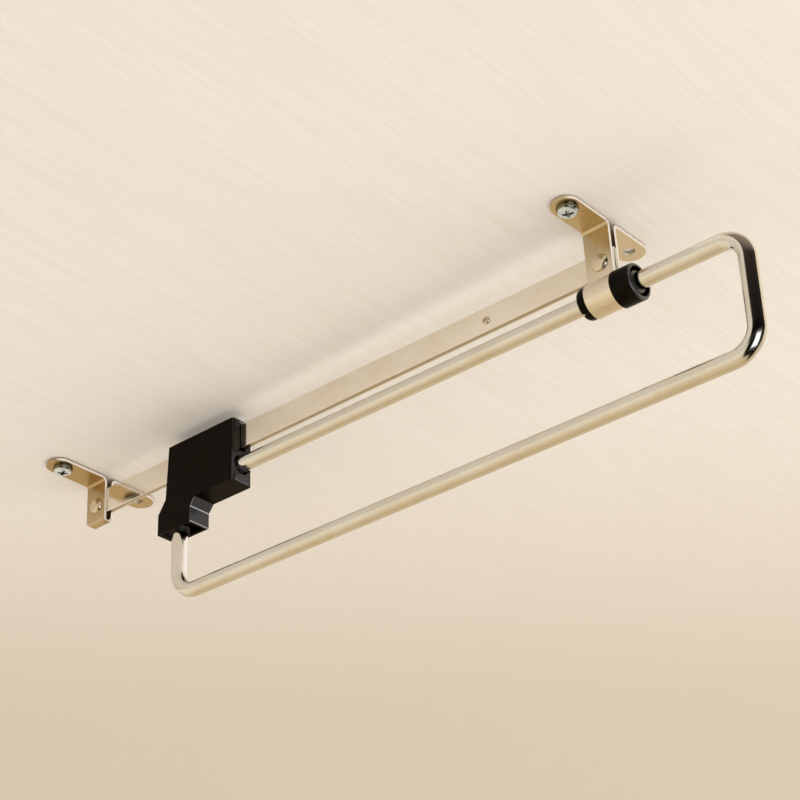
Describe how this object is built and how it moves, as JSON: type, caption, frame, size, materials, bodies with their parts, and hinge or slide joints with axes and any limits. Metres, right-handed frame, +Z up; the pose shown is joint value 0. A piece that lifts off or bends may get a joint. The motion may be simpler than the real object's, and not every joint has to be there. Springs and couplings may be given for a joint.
{
  "type": "pull-out wardrobe clothes rail",
  "caption": "Pull-out clothes rail that screws under a wardrobe shelf: a bent nickel bar loop slides on a folded rail between two strip brackets, with black plastic slider and bush",
  "frame": {"origin": "on the shelf's underside, midway between the front bracket's two screw holes", "axes": "+X is the pull-out direction towards the wardrobe's front, +Z is up into the shelf, +Y is across the rail"},
  "size_m": [0.3982, 0.069, 0.0961],
  "materials": {
    "nickel": "bright nickel plating on steel",
    "slider_plastic": "satin moulded black plastic",
    "bush_plastic": "glossy moulded black plastic"
  },
  "bodies": {
    "rail": {"rail_profile": "nickel", "front_bracket": "nickel", "rear_bracket": "nickel", "front_rivet": "nickel", "rear_rivet": "nickel", "stop_rivet": "nickel", "front_bush": "bush_plastic"},
    "slider": {"slider_body": "slider_plastic", "hanging_rail": "nickel"}
  },
  "joints": [
    {"name": "pull_out", "type": "slide", "parent": "rail", "child": "slider", "axis": [0.9997, 0, -0.0235], "range_m": [-0.039, 0.1511]}
  ]
}
